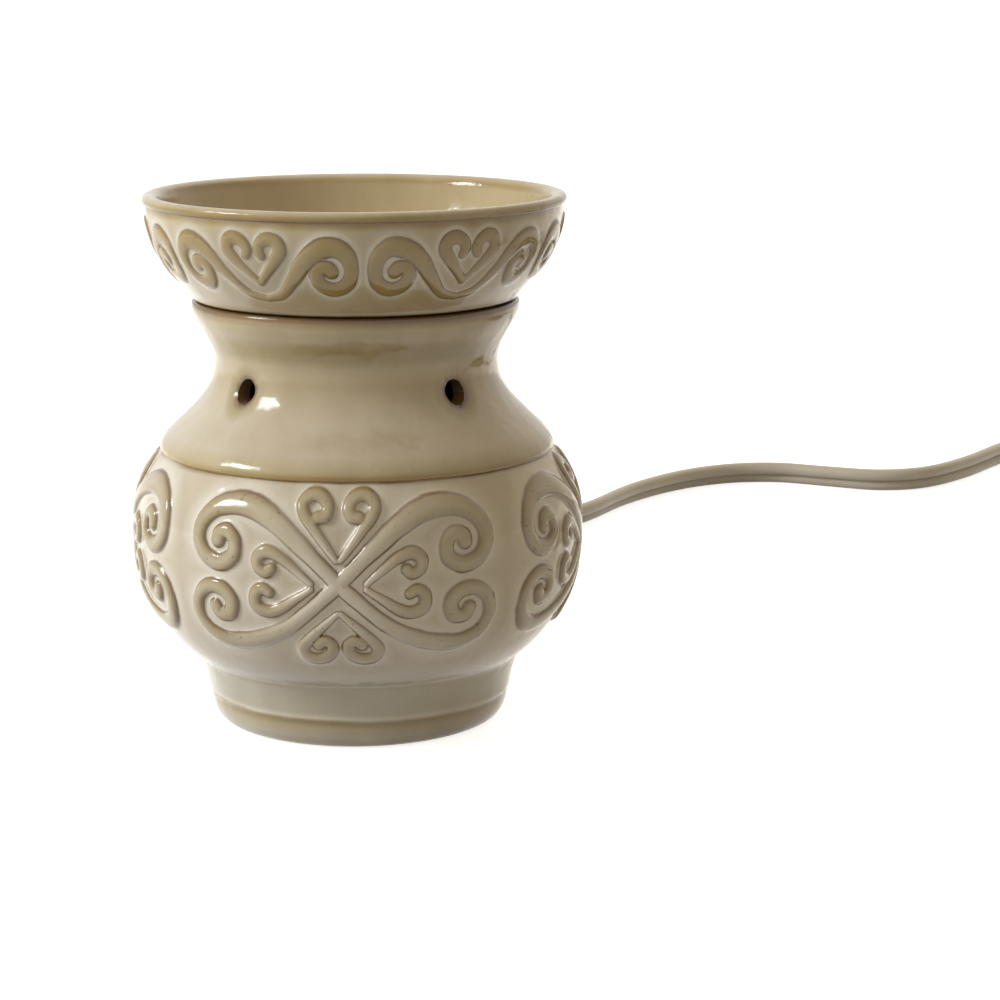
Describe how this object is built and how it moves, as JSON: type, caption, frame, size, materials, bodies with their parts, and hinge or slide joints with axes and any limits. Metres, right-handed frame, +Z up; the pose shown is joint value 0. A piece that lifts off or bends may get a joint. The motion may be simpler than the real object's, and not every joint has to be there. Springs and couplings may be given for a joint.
{
  "type": "wax warmer",
  "caption": "Electric ceramic wax warmer: a round lift-off dish on a footed bulbous body with scroll relief, heated by a screw-in lamp inside, on a flat cord with a thumb-wheel switch and plug.",
  "frame": {"origin": "centre of the circle that the foot stands on, at table height", "axes": "+Z up along the turning axis of body and dish; the front of the relief faces -Y and the cord leaves towards +Y"},
  "size_m": [0.3647, 0.4157, 0.131],
  "materials": {
    "cream_glaze": "glossy cream glaze that breaks tan on raised edges",
    "zinc_steel": "zinc plated",
    "brass": "bright",
    "nickel": "nickel plated",
    "dark_phenolic": "moulded phenolic",
    "black_glass": "fused black glass",
    "lamp_glass": "clear",
    "clear_rubber": "soft, clear",
    "beige_cord": "flexible sheath",
    "live_wire": "insulated core",
    "neutral_wire": "insulated core",
    "ivory_plastic": "moulded, satin",
    "brown_plastic": "moulded"
  },
  "bodies": {
    "warmer": {"body_shell": "cream_glaze", "foot_pad_1": "clear_rubber", "foot_pad_2": "clear_rubber", "foot_pad_3": "clear_rubber", "foot_pad_4": "clear_rubber", "base_plate": "zinc_steel", "base_nut": "zinc_steel", "nipple": "zinc_steel", "clamp_bridge": "zinc_steel", "bridge_nut": "zinc_steel", "socket_body": "dark_phenolic", "socket_screw_shell": "brass", "socket_contact": "brass", "terminal_screw_live": "brass", "terminal_screw_neutral": "brass", "wire_live": "live_wire", "wire_neutral": "neutral_wire", "cord_strain_relief": "beige_cord", "cord_lead": "beige_cord", "cord_link": "beige_cord", "cord_coil": "beige_cord", "cord_tail": "beige_cord", "cord_tie": "brown_plastic", "switch_lower_shell": "ivory_plastic", "switch_upper_shell": "ivory_plastic", "switch_contact_in": "brass", "switch_contact_out": "brass", "switch_screw_1": "zinc_steel", "switch_screw_2": "zinc_steel", "plug_body": "ivory_plastic", "plug_blade_live": "brass", "plug_blade_neutral": "brass"},
    "dish": {"wax_dish": "cream_glaze"},
    "lamp_thread": {"bulb_tip_contact": "brass"},
    "lamp": {"bulb_glass": "lamp_glass", "bulb_cap": "nickel", "bulb_insulator": "black_glass", "bulb_stem": "lamp_glass", "bulb_filament": "nickel"},
    "thumb_wheel": {"switch_wheel": "brown_plastic", "switch_axle": "zinc_steel"}
  },
  "joints": [
    {"name": "dish_lift", "type": "slide", "parent": "warmer", "child": "dish", "axis": [0, 0, 1], "range_m": [0, 0.06]},
    {"name": "bulb_rise", "type": "slide", "parent": "warmer", "child": "lamp_thread", "axis": [0, 0, 1], "range_m": [0, 0.0114]},
    {"name": "bulb_turn", "type": "hinge", "parent": "lamp_thread", "child": "lamp", "pos_m": [0, 0, 0.04], "axis": [0, 0, 1], "range_deg": [0, 1440]},
    {"name": "switch_wheel_turn", "type": "hinge", "parent": "warmer", "child": "thumb_wheel", "pos_m": [0.2935, 0.262, 0.0115], "axis": [1, 0, 0], "continuous": true}
  ],
  "couplings": [
    {"joint": "bulb_rise", "follows": "bulb_turn", "m_per_rad": 0.00044882}
  ]
}
